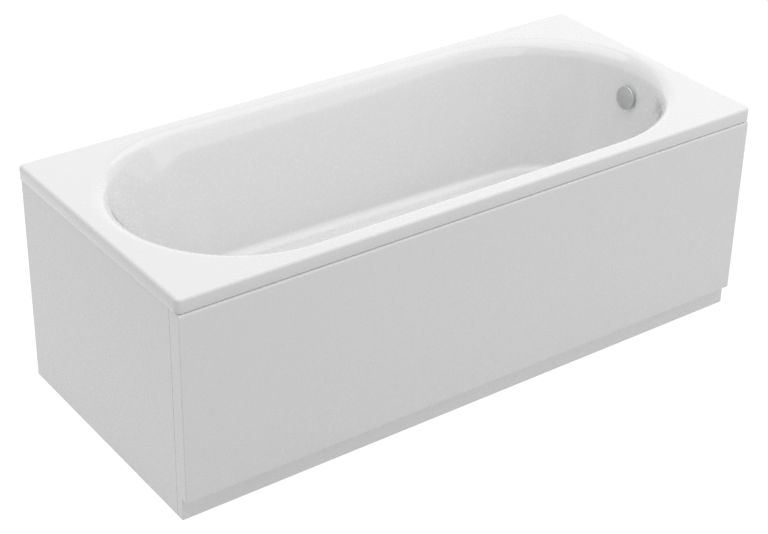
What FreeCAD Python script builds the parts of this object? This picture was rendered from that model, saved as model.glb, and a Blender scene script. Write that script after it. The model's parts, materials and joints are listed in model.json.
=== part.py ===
import FreeCAD, Part
import math
import os

# A rectangular acrylic bathtub with its front and end panels, its legs, and its pop-up waste.
# Lengths are millimetres and angles degrees. X runs from the head end to the drain end, Y from the
# front panel to the wall side, Z up. The origin is on the floor, under the middle of the rim.

V = FreeCAD.Vector
UP = V(0, 0, 1)
ACROSS = V(0, 1, 0)
ALONG = V(1, 0, 0)

# Overall size
bath_length = 1700.0
bath_width = 750.0
bath_height = 595.0

# Clearances
seat_gap = 0.1          # between flat faces that rest on each other
fit_gap = 0.3           # round a fixed piece in its hole
running_gap = 0.05      # round a shaft that turns or slides
overrun = 6.0           # how far every cutting tool passes the face it cuts

# Shell
shell_wall = 5.0
rim_height = 36.0
rim_corner_radius = 15.0
rim_edge_radius = 8.0
head_margin = 38.0      # from the rim's end to where the lip starts to roll in
tap_margin = 24.0
side_margin = 31.0
side_lip_radius = 28.0
head_lip_radius = 52.0  # the widest of the three
tap_lip_radius = 44.0
floor_radius = 29.0
floor_height = 250.0    # of the well's floor above the ground, at the middle of the length
floor_fall = 0.018      # fall of the floor towards the drain, per unit of length
side_slope = 17.1       # lean of each wall from upright
head_slope = 28.0
tap_slope = 8.0
head_round_share = 1.0  # length of each rounded end, as a share of the half width there
tap_round_share = 1.12
lip_start_angle = 5.0   # the lip leaves the flat rim at this angle
lip_steps = 9
wall_shares = (0.08, 0.35, 0.65, 0.92)
floor_steps = 7

# Base board
board_end_margin = 350.0    # from the rim's ends
board_side_margin = 13.2    # inside the flat part of the well's floor
board_thickness = 16.0
board_corner_radius = 40.0

# Battens under the rim
batten_width = 22.0
batten_height = 18.0
batten_end_gap = 2.0
batten_screw_inset = 9.0  # from the batten's outer face

# Leg rails: steel channels, open side down
rail_board_margin = 100.0   # from the board's ends to the rails' middles
rail_width = 40.0
rail_height = 20.0
rail_steel = 2.0
rail_end_margin = 30.0  # from the rail's end to its foot

# Feet
foot_radius = 26.0
foot_top_radius = 15.0
foot_height = 22.0
foot_edge = 6.0         # upright edge of the pad
foot_floor = 7.0        # solid rubber under the spindle
spindle_radius = 6.0
spindle_above_rail = 34.0
collar_flats = 17.0
collar_height = 8.0
foot_nut_flats = 19.0
foot_nut_height = 8.0
foot_hole_gap = 0.5
foot_wall_gap = 35.5    # from the well's outside, beside the spindle's top, to the foot's middle

# Screws
screw_radius = 2.2
screw_head_radius = 4.6
screw_head_height = 2.6
screw_length = 13.0
screw_hole_gap = 0.3
rail_screw_margin = 35.0    # from the board's sides
rail_screw_spacing = 75.0

# Front panel: one moulded skin with a recessed plinth and two short returns
panel_wall = 4.0
panel_inset = 4.0       # of the panels' end faces from the rim's ends
panel_rim_gap = 2.5
panel_floor_gap = 1.0
plinth_height = 60.0
plinth_inset = 20.0
panel_return = 40.0
panel_flange = 20.0
panel_top_radius = 9.0
panel_edge_radius = 2.5

# End panel
end_rim_gap = 3.0
end_seam = 1.0
end_rear_margin = 7.0
end_edge_radius = 2.5

# Clips between the battens and the panels' top flanges
clip_width = 40.0
clip_steel = 2.5
front_clip_margin = 250.0   # from the rim's ends
end_clip_margin = 145.0     # from the rim's sides

# Corner strip behind the seam between the panels
strip_width = 36.0
strip_thickness = 2.5
strip_top_margin = 60.0

# Stays from the leg rails to the front panel
stay_width = 30.0
stay_steel = 2.5
stay_foot = 50.0
stay_lap = 16.0

# Brackets that carry the rear rim on the wall
bracket_margin = 350.0  # from the rim's ends
bracket_width = 40.0
bracket_steel = 2.5
bracket_drop = 60.0
bracket_hole_radius = 3.0
bracket_hole_spacing = 24.0
bracket_lap = 20.0

# Overflow
overflow_depth = 100.0  # of the axis under the rim's top, at the wall's face
overflow_hole_radius = 26.0
pad_radius = 30.5
pad_front = 2.0         # the flat pad in front of the wall's face
pad_back = 7.0
grate_radius = 28.5
grate_thickness = 4.0
grate_hole_radius = 5.0
grate_hole_circle = 14.0
grate_hole_count = 6
cap_radius = 32.0
cap_wall = 3.0
cap_lift = 2.0          # water runs in under the cap's edge through this gap
cap_height = 12.0
cap_edge_radius = 2.5
hub_radius = 9.0
control_radius = 5.0
gasket_thickness = 2.2
body_flange_radius = 35.0
body_flange = 4.0
body_radius = 32.0
body_wall = 4.0
body_depth = 48.0
nose_wall = 3.5
bearing_depth = 7.0
bearing_floor = 4.0
drum_radius = 14.0
drum_thickness = 8.0
drum_groove = 2.0

# Hose from the overflow to the waste
hose_bore = 12.0
hose_root = 13.5
hose_crest = 16.0
hose_bend = 110.0
tee_drop = 46.8         # of the hose's lower end under the drain's seat
tee_reach = 28.0        # of the waste body's side spigot, past the body
rib_pitch = 8.0
rib_shares = (0.0, 0.35, 0.5, 0.85)
spigot_radius = 15.0
spigot_reach = 50.0     # of the overflow's spigot, under the overflow body's middle
hose_nut_radius = 21.0
hose_nut_length = 28.0
hose_nut_grips = 8
grip_depth = 1.5

# Control cable from the overflow to the waste
cable_radius = 3.0
cable_offset = 28.0     # beside the hose, from the middle line
cable_bend = 75.0
cable_drop = 29.8       # of the cable's lower end under the drain's seat
gland_radius = 6.0
gland_length = 18.0

# Waste
drain_inset = 236.0     # of the drain's axis from the opening's end
drain_hole_radius = 30.0
seat_radius = 44.0
seat_depth = 4.6
seat_pad_radius = 50.0
drain_gasket_radius = 42.0
drain_gasket = 1.5
lower_gasket = 2.0
flange_radius = 43.0
flange_thickness = 2.5
flange_edge = 1.0
throat_wall = 4.5
throat_depth = 16.0
cone_radius = 31.5
cone_depth = 5.2
guide_radius = 8.0
guide_height = 4.0
guide_arm = 4.0
guide_arms = 3
plug_radius = 34.0
plug_edge = 1.6
plug_crown = 3.2
plug_boss_radius = 10.0
plug_boss_height = 7.0
stem_radius = 4.0
stem_length = 50.0
seal_height = 2.6
seal_inner = 20.0
waste_flange_radius = 42.0
waste_flange = 4.0
waste_radius = 34.0
waste_wall = 3.8
waste_length = 68.0
lever_pivot = 16.0      # from the drain's axis
lever_reach = 3.0
lever_width = 6.0
lever_thickness = 4.0
lever_tail = 8.0
lever_boss = 4.5
lever_gap = 0.4
pin_radius = 2.0
union_radius = 41.0
union_height = 24.0
union_grips = 12

# Trap
trap_collar = 13.0
trap_lid = 4.0
trap_radius = 40.0
trap_wall = 4.0
trap_depth = 62.0
dip_radius = 22.0
dip_wall = 2.5
dip_margin = 4.0
outlet_drop = 113.5     # of the outlet's axis under the drain's seat
outlet_radius = 24.0
outlet_length = 26.0
cup_wall = 3.6
cup_lap = 12.0
cup_drop = 15.0
cup_floor = 3.0
cup_grips = 16
pipe_radius = 20.0
pipe_bore = 17.3
pipe_neck = 19.0        # radius of the pipe's end inside the trap and the nut
pipe_wall_gap = 45.0    # from the pipe's free end to the wall
pipe_lap = 16.0
outlet_nut_radius = 29.0
outlet_nut_length = 22.0
outlet_nut_lap = 8.0

# Levels and places that follow from these
floor_depth = bath_height - floor_height
overflow_height = bath_height - overflow_depth
rim_bottom = bath_height - rim_height
batten_top = bath_height - shell_wall - seat_gap
batten_bottom = batten_top - batten_height
head_edge = bath_length / 2 - head_margin
tap_edge = bath_length / 2 - tap_margin
opening_half_width = bath_width / 2 - side_margin
panel_top = rim_bottom - panel_rim_gap
panel_front = -bath_width / 2
panel_end = bath_length / 2 - panel_inset
end_panel_top = rim_bottom - end_rim_gap
board_length = bath_length - 2 * board_end_margin
rail_place = board_length / 2 - rail_board_margin
front_clip_place = bath_length / 2 - front_clip_margin
front_clip_places = (-front_clip_place, 0, front_clip_place)
end_clip_place = bath_width / 2 - end_clip_margin
end_clip_places = (-end_clip_place, end_clip_place)
clip_grip = panel_flange - panel_top_radius     # as far as the round of the panel's top edge
bracket_place = bath_length / 2 - bracket_margin
drain_place = tap_edge - drain_inset
pipe_end = bath_width / 2 - pipe_wall_gap
board_angle = math.degrees(math.atan(floor_fall * (floor_depth + shell_wall) / floor_depth))


def box(x_low, x_high, y_low, y_high, z_low, z_high):
    return Part.makeBox(x_high - x_low, y_high - y_low, z_high - z_low, V(x_low, y_low, z_low))


def cylinder(radius, low, high, x=0.0, y=0.0):
    return Part.makeCylinder(radius, high - low, V(x, y, low), UP)


def ring(inner, outer, low, high, x=0.0, y=0.0):
    hole = cylinder(inner, low - overrun, high + overrun, x, y)
    return cylinder(outer, low, high, x, y).cut(hole)


def turned(points):
    """A solid of revolution about Z from its outline, given as radius and height."""
    corners = [V(radius, 0, height) for radius, height in points]
    outline = Part.makePolygon(corners + corners[:1])
    return Part.Face(outline).revolve(V(0, 0, 0), UP, 360)


def prism(points, normal, depth, start):
    """An outline in the plane across one axis, pushed along that axis."""
    outline = Part.makePolygon([start + point for point in points + points[:1]])
    return Part.Face(outline).extrude(normal * depth)


def edges_where(shape, test):
    return [edge for edge in shape.Edges if test(edge)]


def upright(edge):
    ends = [vertex.Point for vertex in edge.Vertexes]
    return len(ends) == 2 and (ends[0] - ends[1]).cross(UP).Length < seat_gap


def level_at(height):
    return lambda edge: all(abs(v.Z - height) < seat_gap for v in edge.Vertexes)


def rounded_block(half_x, half_y, low, high, corner, edge):
    """A block with rounded upright corners and a rounded top edge."""
    block = box(-half_x, half_x, -half_y, half_y, low, high)
    block = block.makeFillet(corner, edges_where(block, upright))
    return block.makeFillet(edge, edges_where(block, level_at(high)))


def hexagon(flats, low, high, x=0.0, y=0.0):
    radius = flats / math.sqrt(3)
    corners = []
    for index in range(6):
        angle = math.radians(60 * index)
        corners.append(V(x + radius * math.cos(angle), y + radius * math.sin(angle), low))
    return Part.Face(Part.makePolygon(corners + corners[:1])).extrude(UP * (high - low))


def gripped_nut(inner, outer, low, high, grips):
    """A round nut with shallow finger grooves."""
    nut = ring(inner, outer, low, high)
    for index in range(grips):
        angle = 2 * math.pi * index / grips
        reach = outer + grip_depth
        groove = cylinder(2 * grip_depth, low - overrun, high + overrun,
                          reach * math.cos(angle), reach * math.sin(angle))
        nut = nut.cut(groove)
    return nut


def fused(shapes):
    whole = shapes[0]
    for shape in shapes[1:]:
        whole = whole.fuse(shape)
    return whole.removeSplitter()


def cut_all(shape, tools):
    for tool in tools:
        shape = shape.cut(tool)
    return shape


# Shape of the well

def wall_inset(depth, slope, radius, out):
    """How far the well's face lies inside its opening at one depth.

    The face is a lip arc, a straight wall and a floor arc. It is moved out by a wall's thickness
    for the underside.
    """
    lean = math.radians(slope)
    lip = radius - out
    bend = floor_radius + out
    bend_centre = floor_depth - floor_radius
    lip_end = radius - lip * math.sin(lean)
    bend_start = bend_centre + bend * math.sin(lean)
    if depth <= lip_end:
        return math.sqrt(lip ** 2 - (radius - depth) ** 2)
    if depth <= bend_start:
        return lip * math.cos(lean) + (depth - lip_end) * math.tan(lean)
    lean_run = (bend_start - lip_end) * math.tan(lean)
    centre = (lip + bend) * math.cos(lean) + lean_run
    return centre - math.sqrt(max(bend ** 2 - (depth - bend_centre) ** 2, 0))


def level(x, depth):
    """Height of a point of the well. The fall of the floor fades out towards the rim."""
    return bath_height - depth * (1 + floor_fall * x / floor_depth)


def quarter(start, corner, end):
    """A quarter of an ellipse between two points whose tangents meet at the corner."""
    curve = Part.BezierCurve()
    curve.setPoles([start, corner, end])
    curve.setWeight(2, math.sqrt(0.5))
    return curve.toShape()


def well_section(depth, out):
    half = opening_half_width - wall_inset(depth, side_slope, side_lip_radius, out)
    head = wall_inset(depth, head_slope, head_lip_radius, out) - head_edge
    tap = tap_edge - wall_inset(depth, tap_slope, tap_lip_radius, out)
    head_straight = head + head_round_share * half
    tap_straight = tap - tap_round_share * half

    def at(x, y):
        return V(x, y, level(x, depth))

    edges = [
        quarter(at(head, 0), at(head, half), at(head_straight, half)),
        Part.LineSegment(at(head_straight, half), at(tap_straight, half)).toShape(),
        quarter(at(tap_straight, half), at(tap, half), at(tap, 0)),
        quarter(at(tap, 0), at(tap, -half), at(tap_straight, -half)),
        Part.LineSegment(at(tap_straight, -half), at(head_straight, -half)).toShape(),
        quarter(at(head_straight, -half), at(head, -half), at(head, 0)),
    ]
    return Part.Wire(edges)


def well_depths(out):
    """Depths of the sections: close together round the lip and the floor's bend."""
    lip = head_lip_radius - out
    bend = floor_radius + out
    depths = []
    first = math.radians(lip_start_angle)
    last = math.radians(90 - tap_slope)
    for index in range(lip_steps):
        angle = first + (last - first) * index / (lip_steps - 1)
        depths.append(head_lip_radius - lip * math.cos(angle))
    wall_top = depths[-1]
    bend_first = math.radians(tap_slope)
    wall_end = floor_depth - floor_radius + bend * math.sin(bend_first)
    depths += [wall_top + (wall_end - wall_top) * share for share in wall_shares]
    for index in range(floor_steps):
        angle = bend_first + (math.pi / 2 - bend_first) * index / (floor_steps - 1)
        depths.append(floor_depth - floor_radius + bend * math.sin(angle))
    return depths


def well_solid(out, rise):
    """The well as a solid, carried straight up from the start of its lip."""
    sections = [well_section(depth, out) for depth in well_depths(out)]
    mouth = Part.Face(sections[0]).extrude(UP * rise)
    return Part.makeLoft(sections, True, False).fuse(mouth)


# Local frames

def overflow_origin():
    """Where the overflow's axis meets the wall's face, on the middle line."""
    place = tap_edge
    for _ in range(8):
        depth = (bath_height - overflow_height) / (1 + floor_fall * place / floor_depth)
        place = tap_edge - wall_inset(depth, tap_slope, tap_lip_radius, 0)
    return V(place, 0, overflow_height)


def at_overflow(shape):
    """Moves a shape from its own frame, +Z into the tub and +X up, onto the overflow."""
    moved = shape.copy()
    moved.rotate(V(0, 0, 0), ACROSS, tap_slope - 90)
    moved.translate(overflow_origin())
    return moved


def overflow_point(height):
    """A point on the overflow's axis, this far in front of the wall's face."""
    lean = math.radians(tap_slope)
    return overflow_origin() + V(-math.cos(lean), 0, math.sin(lean)) * height


def drain_floor():
    return level(drain_place, floor_depth)


def drain_seat():
    return drain_floor() - seat_depth


def at_drain(shape):
    moved = shape.copy()
    moved.translate(V(drain_place, 0, drain_seat()))
    return moved


def board_half_width():
    floor_inset = wall_inset(floor_depth, side_slope, side_lip_radius, 0)
    return opening_half_width - floor_inset - board_side_margin


def board_underside(x):
    under_floor = level(x, floor_depth + shell_wall)
    lean = math.cos(math.radians(board_angle))
    return under_floor - (seat_gap + board_thickness) / lean


def rail_top(x):
    return board_underside(x + rail_width / 2) - seat_gap


def foot_row():
    """How far the feet stand from the middle line, clear of the well beside the left ones."""
    height = rail_top(-rail_place) + spindle_above_rail
    depth = (bath_height - height) / (1 - floor_fall * rail_place / floor_depth)
    inset = wall_inset(depth, side_slope, side_lip_radius, shell_wall)
    return opening_half_width - inset + foot_wall_gap


def rail_half_length():
    return foot_row() + rail_end_margin


def hose_level():
    return drain_seat() - tee_drop


def cable_level():
    return drain_seat() - cable_drop


# Shell

def rim():
    outer = rounded_block(bath_length / 2, bath_width / 2, rim_bottom, bath_height,
                          rim_corner_radius, rim_edge_radius)
    hollow = rounded_block(bath_length / 2 - shell_wall, bath_width / 2 - shell_wall,
                           rim_bottom - overrun, bath_height - shell_wall,
                           rim_corner_radius - shell_wall, rim_edge_radius - shell_wall)
    return outer.cut(hollow)


def bath_shell():
    skin = rim().fuse(well_solid(shell_wall, shell_wall / 2))
    pad = at_overflow(cylinder(pad_radius, -pad_back, 0))
    seat_pad = at_drain(cylinder(seat_pad_radius, -shell_wall, seat_depth))
    skin = skin.fuse(pad).fuse(seat_pad)
    skin = skin.cut(well_solid(0, overrun))
    skin = skin.fuse(at_overflow(cylinder(pad_radius, -shell_wall, pad_front)))
    overflow_hole = at_overflow(cylinder(overflow_hole_radius, -pad_back - overrun, overrun))
    recess = at_drain(cylinder(seat_radius, 0, seat_depth + overrun))
    drain_hole = at_drain(cylinder(drain_hole_radius, -shell_wall - overrun, overrun))
    return cut_all(skin, [overflow_hole, recess, drain_hole])


def rail_screw_points():
    outer = board_half_width() - rail_screw_margin
    points = []
    for side in (-1, 1):
        for place in (outer, outer - rail_screw_spacing):
            points += [(side * rail_place, place), (side * rail_place, -place)]
    return points


def base_board():
    board = rounded_block(board_length / 2, board_half_width(), -board_thickness, 0,
                          board_corner_radius, seat_gap)
    board.rotate(V(0, 0, 0), ACROSS, board_angle)
    lean = math.cos(math.radians(board_angle))
    board.translate(V(0, 0, level(0, floor_depth + shell_wall) - seat_gap / lean))
    for x, y in rail_screw_points():
        low = rail_top(x) - overrun
        top = rail_top(x) + screw_length
        board = board.cut(cylinder(screw_radius + screw_hole_gap, low, top, x, y))
    return board


# Battens under the rim

def batten_outer(half):
    return half - shell_wall - seat_gap


def eased(batten, outer):
    """Rounds the batten's top outer edge to follow the inside of the skirt."""
    edges = edges_where(batten, lambda edge: level_at(batten_top)(edge)
                        and (abs(abs(edge.CenterOfMass.x) - outer) < seat_gap
                             or abs(abs(edge.CenterOfMass.y) - outer) < seat_gap))
    return batten.makeFillet(rim_edge_radius - shell_wall, edges)


def side_batten(side):
    outer = batten_outer(bath_width / 2)
    half = batten_outer(bath_length / 2) - rim_corner_radius
    low, high = sorted((side * outer, side * (outer - batten_width)))
    return eased(box(-half, half, low, high, batten_bottom, batten_top), outer)


def end_batten(side):
    outer = batten_outer(bath_length / 2)
    half = batten_outer(bath_width / 2) - batten_width - batten_end_gap
    low, high = sorted((side * outer, side * (outer - batten_width)))
    return eased(box(low, high, -half, half, batten_bottom, batten_top), outer)


def screw_up(x, y, seat):
    """A screw driven upwards, its head under the seat and its shank above."""
    head = cylinder(screw_head_radius, seat - seat_gap - screw_head_height, seat - seat_gap, x, y)
    shank = cylinder(screw_radius, seat - seat_gap, seat + screw_length - screw_hole_gap, x, y)
    return head.fuse(shank)


def screw_hole(x, y, low, high):
    return cylinder(screw_radius + screw_hole_gap, low, high, x, y)


def front_clip_screw(place):
    return place, batten_screw_inset - batten_outer(bath_width / 2)


def end_clip_screw(place):
    return batten_screw_inset - batten_outer(bath_length / 2), place


def bracket_screw(side):
    return side * bracket_place, batten_outer(bath_width / 2) - batten_screw_inset


def batten_screw_points():
    """Every screw that goes up into a batten."""
    front = [front_clip_screw(place) for place in front_clip_places]
    end = [end_clip_screw(place) for place in end_clip_places]
    rear = [bracket_screw(side) for side in (-1, 1)]
    return front, end, rear


def drilled_batten(batten, points):
    low = batten_bottom - overrun
    high = batten_bottom - clip_steel - seat_gap + screw_length
    return cut_all(batten, [screw_hole(x, y, low, high) for x, y in points])


# Legs

def feet():
    """Name, place and rail of each foot."""
    reach = foot_row()
    rows = []
    for side_name, side in (("left", -1), ("right", 1)):
        for row_name, row in (("front", -1), ("rear", 1)):
            rows.append((row_name + "_" + side_name, side * rail_place, row * reach))
    return rows


def leg_rail(side):
    x = side * rail_place
    top = rail_top(x)
    half = rail_width / 2
    end = rail_half_length()
    outside = box(x - half, x + half, -end, end, top - rail_height, top)
    outside = outside.makeFillet(rail_steel, edges_where(
        outside, lambda edge: level_at(top)(edge) and edge.Length > rail_width + overrun))
    inside = box(x - half + rail_steel, x + half - rail_steel, -end - overrun, end + overrun,
                 top - rail_height - overrun, top - rail_steel)
    rail = outside.cut(inside)
    holes = []
    for foot_name, foot_x, foot_y in feet():
        if foot_x == x:
            holes.append(cylinder(spindle_radius + foot_hole_gap, top - rail_height, top + overrun,
                                  foot_x, foot_y))
    for screw_x, screw_y in rail_screw_points():
        if screw_x == x:
            holes.append(screw_hole(screw_x, screw_y, top - rail_height, top + overrun))
    holes.append(screw_hole(x, stay_screw_place(), top - rail_height, top + overrun))
    return cut_all(rail, holes)


def rail_screws():
    screws = []
    for x, y in rail_screw_points():
        screws.append(screw_up(x, y, rail_top(x) - rail_steel))
    return Part.makeCompound(screws)


def foot_pad(x, y):
    pad = turned([(0, 0), (foot_radius, 0), (foot_radius, foot_edge),
                  (foot_top_radius, foot_height), (0, foot_height)])
    socket = cylinder(spindle_radius + running_gap, foot_floor, foot_height + overrun)
    pad = pad.cut(socket)
    pad.translate(V(x, y, 0))
    return pad


def foot_spindle(x, y):
    top = rail_top(x) + spindle_above_rail
    low = foot_floor + fit_gap
    collar_low = foot_height + seat_gap
    rod = cylinder(spindle_radius, low, top, x, y)
    rod = rod.makeChamfer(spindle_radius / 5, edges_where(rod, level_at(top)))
    return rod.fuse(hexagon(collar_flats, collar_low, collar_low + collar_height, x, y))


def foot_nuts():
    nuts = []
    for foot_name, x, y in feet():
        top = rail_top(x)
        bore = cylinder(spindle_radius + running_gap, top - rail_height - overrun,
                        top + foot_nut_height + overrun, x, y)
        upper = hexagon(foot_nut_flats, top + seat_gap, top + seat_gap + foot_nut_height, x, y)
        under = top - rail_steel - seat_gap
        lower = hexagon(foot_nut_flats, under - foot_nut_height, under, x, y)
        nuts += [upper.cut(bore), lower.cut(bore)]
    return Part.makeCompound(nuts)


# Panels

def front_edge(y, height):
    """Picks the long edge of a panel block at one depth and height."""
    return lambda edge: (level_at(height)(edge)
                         and all(abs(vertex.Y - y) < seat_gap for vertex in edge.Vertexes))


def front_panel():
    face = box(-panel_end, panel_end, panel_front, panel_front + panel_return,
               plinth_height, panel_top)
    face = face.makeFillet(panel_top_radius, edges_where(face, front_edge(panel_front, panel_top)))
    outline = edges_where(face, lambda edge: abs(edge.CenterOfMass.x) > panel_end - seat_gap
                          and edge.BoundBox.YMin < panel_front + panel_top_radius - seat_gap
                          and edge.BoundBox.ZMin > plinth_height - seat_gap
                          and edge.BoundBox.ZMax > plinth_height + seat_gap)
    face = face.makeFillet(panel_edge_radius, outline)
    plinth_front = panel_front + plinth_inset
    plinth = box(-panel_end, panel_end, plinth_front, panel_front + panel_return,
                 panel_floor_gap, plinth_height)
    inner_end = panel_end - panel_wall
    rear = panel_front + panel_return + overrun
    inner_front = panel_front + panel_wall
    inner_top = panel_top - panel_wall
    upper_room = box(-inner_end, inner_end, inner_front, rear, plinth_height + panel_wall,
                     inner_top)
    upper_room = upper_room.makeFillet(panel_top_radius - panel_wall,
                                       edges_where(upper_room, front_edge(inner_front, inner_top)))
    lower_room = box(-inner_end, inner_end, plinth_front + panel_wall, rear,
                     panel_floor_gap - overrun, plinth_height + panel_wall + overrun)
    behind_flange = box(-inner_end, inner_end, panel_front + panel_flange, rear,
                        panel_top - panel_wall - overrun, panel_top + overrun)
    return face.fuse(plinth).cut(upper_room).cut(lower_room).cut(behind_flange).removeSplitter()


def end_panel():
    front = panel_front + panel_return + end_seam
    rear = bath_width / 2 - end_rear_margin
    outer = -panel_end
    block = box(outer, outer + panel_flange, front, rear, panel_floor_gap, end_panel_top)
    rounded = edges_where(block, lambda edge: edge.BoundBox.XMax < outer + seat_gap
                          and (edge.BoundBox.ZMin > end_panel_top - seat_gap
                               or edge.BoundBox.YMin > rear - seat_gap))
    block = block.makeFillet(end_edge_radius, rounded)
    room = box(outer + panel_wall, outer + panel_flange + overrun, front - overrun,
               rear - panel_wall, panel_floor_gap + panel_wall, end_panel_top - panel_wall)
    return block.cut(room)


def clip_section(reach, flange_edge, flange_top):
    """Outline of a clip, as distance in from the panel's face and height.

    Its foot lies under the batten, its stem hangs behind the panel's flange, and two fingers
    hold the flange from above and below.
    """
    foot_top = batten_bottom - seat_gap
    foot_low = foot_top - clip_steel
    stem_near = flange_edge + seat_gap
    stem_far = stem_near + clip_steel
    finger_far = stem_near - clip_grip
    above = flange_top + seat_gap
    below = flange_top - panel_wall - seat_gap
    return [
        (reach, foot_top), (reach, foot_low), (stem_far, foot_low),
        (stem_far, below - clip_steel), (finger_far, below - clip_steel), (finger_far, below),
        (stem_near, below), (stem_near, above), (finger_far, above),
        (finger_far, above + clip_steel), (stem_near, above + clip_steel), (stem_near, foot_top),
    ]


def front_clip(place):
    section = clip_section(batten_width + shell_wall, panel_flange, panel_top)
    points = [V(0, distance, height) for distance, height in section]
    start = V(place - clip_width / 2, panel_front, 0)
    clip = prism(points, ALONG, clip_width, start)
    x, y = front_clip_screw(place)
    return clip.cut(screw_hole(x, y, batten_bottom - overrun, batten_bottom))


def end_clip(place):
    reach = batten_width + shell_wall - panel_inset
    section = clip_section(reach, panel_flange, end_panel_top)
    points = [V(distance, 0, height) for distance, height in section]
    start = V(-panel_end, place - clip_width / 2, 0)
    clip = prism(points, ACROSS, clip_width, start)
    x, y = end_clip_screw(place)
    return clip.cut(screw_hole(x, y, batten_bottom - overrun, batten_bottom))


def clip_screws():
    front, end, rear = batten_screw_points()
    seat = batten_bottom - seat_gap - clip_steel
    return Part.makeCompound([screw_up(x, y, seat) for x, y in front + end])


def corner_strip():
    """A flat strip behind the seam between the front panel's return and the end panel."""
    seam = panel_front + panel_return + end_seam / 2
    inner = -panel_end + panel_wall + seat_gap
    low = plinth_height + panel_wall + seat_gap
    return box(inner, inner + strip_thickness, seam - strip_width / 2, seam + strip_width / 2,
               low, panel_top - strip_top_margin)


def stay_screw_place():
    return stay_lap / 2 - rail_half_length()


def panel_stay(side):
    """A flat arm under the rail's web that ends in a foot against the panel's back."""
    x = side * rail_place
    top = rail_top(x) - rail_steel - seat_gap
    panel_back = panel_front + panel_wall + seat_gap
    rear = stay_lap - rail_half_length()
    points = [V(0, rear, top), V(0, rear, top - stay_steel),
              V(0, panel_back + stay_steel, top - stay_steel),
              V(0, panel_back + stay_steel, top - stay_foot), V(0, panel_back, top - stay_foot),
              V(0, panel_back, top)]
    stay = prism(points, ALONG, stay_width, V(x - stay_width / 2, 0, 0))
    hole = screw_hole(x, stay_screw_place(), top - overrun, top + overrun)
    return stay.cut(hole)


def stay_screws():
    """A short bolt through the stay and the rail's web, with its nut above."""
    bolts = []
    for side in (-1, 1):
        x = side * rail_place
        y = stay_screw_place()
        seat = rail_top(x) - rail_steel - seat_gap - stay_steel
        top = rail_top(x) + seat_gap
        head = cylinder(screw_head_radius, seat - seat_gap - screw_head_height,
                        seat - seat_gap, x, y)
        shank = cylinder(screw_radius, seat - seat_gap, top + screw_head_height, x, y)
        nut = hexagon(2 * screw_head_radius, top, top + screw_head_height, x, y)
        bolts.append(head.fuse(shank).fuse(nut))
    return Part.makeCompound(bolts)


# Wall brackets

def bracket_holes(side):
    """Centres of the two screw holes towards the wall, along the bath."""
    x = side * bracket_place
    return [x - bracket_hole_spacing / 2, x + bracket_hole_spacing / 2]


def wall_bracket(side):
    """A cranked plate: under the rear batten, down past the skirt, and flat on the wall."""
    wall = bath_width / 2
    top = batten_bottom - seat_gap
    near = wall - shell_wall - fit_gap
    crank = rim_bottom - fit_gap
    front = near - bracket_lap - bracket_steel
    low = crank - bracket_drop
    points = [
        V(0, front, top), V(0, near, top), V(0, near, crank), V(0, wall, crank), V(0, wall, low),
        V(0, wall - bracket_steel, low), V(0, wall - bracket_steel, crank - bracket_steel),
        V(0, near - bracket_steel, crank - bracket_steel),
        V(0, near - bracket_steel, top - bracket_steel), V(0, front, top - bracket_steel),
    ]
    x = side * bracket_place
    plate = prism(points, ALONG, bracket_width, V(x - bracket_width / 2, 0, 0))
    height = bracket_hole_height()
    holes = []
    for hole_x in bracket_holes(side):
        start = V(hole_x, wall - bracket_steel - overrun, height)
        holes.append(Part.makeCylinder(bracket_hole_radius, 2 * overrun, start, ACROSS))
    screw_x, screw_y = bracket_screw(side)
    holes.append(screw_hole(screw_x, screw_y, batten_bottom - overrun, batten_bottom))
    return cut_all(plate, holes)


def bracket_hole_height():
    return rim_bottom - fit_gap - bracket_drop / 2


def wall_bracket_screws():
    front, end, rear = batten_screw_points()
    seat = batten_bottom - seat_gap - bracket_steel
    return Part.makeCompound([screw_up(x, y, seat) for x, y in rear])


# Overflow, in its own frame: +Z into the tub, +X up, zero at the wall's face

grate_low = pad_front + seat_gap
grate_high = grate_low + grate_thickness
cap_low = pad_front + cap_lift
cap_high = cap_low + cap_height
flange_face = -pad_back - gasket_thickness - 2 * seat_gap
body_back = -body_depth


def overflow_grate():
    plate = cylinder(grate_radius, grate_low, grate_high)
    plate = plate.cut(cylinder(control_radius + running_gap, grate_low - overrun,
                               grate_high + overrun))
    for index in range(grate_hole_count):
        angle = 2 * math.pi * index / grate_hole_count
        x = (grate_hole_circle + grate_hole_radius) * math.cos(angle)
        y = (grate_hole_circle + grate_hole_radius) * math.sin(angle)
        plate = plate.cut(cylinder(grate_hole_radius, grate_low - overrun, grate_high + overrun,
                                   x, y))
    return at_overflow(plate)


def overflow_knob():
    cap = cylinder(cap_radius, cap_low, cap_high)
    cap = cap.makeFillet(cap_edge_radius, edges_where(cap, level_at(cap_high)))
    cap = cap.cut(cylinder(cap_radius - cap_wall, cap_low - overrun, cap_high - cap_wall))
    hub = cylinder(hub_radius, grate_high + fit_gap, cap_high - cap_wall / 2)
    socket = cylinder(control_radius + seat_gap, cap_low - overrun, cap_high - cap_wall)
    return at_overflow(cap.fuse(hub).cut(socket))


def overflow_spindle():
    low = body_back + bearing_floor + seat_gap
    return at_overflow(cylinder(control_radius, low, cap_high - cap_wall - seat_gap))


def drum_low():
    return body_back + bearing_depth + fit_gap


def cable_drum():
    low = drum_low()
    drum = ring(control_radius + seat_gap, drum_radius, low, low + drum_thickness)
    groove = ring(drum_radius - drum_groove, drum_radius + overrun,
                  low + drum_thickness / 4, low + 3 * drum_thickness / 4)
    return at_overflow(drum.cut(groove))


def overflow_gasket():
    top = -pad_back - seat_gap
    return at_overflow(ring(overflow_hole_radius, pad_radius, top - gasket_thickness, top))


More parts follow.
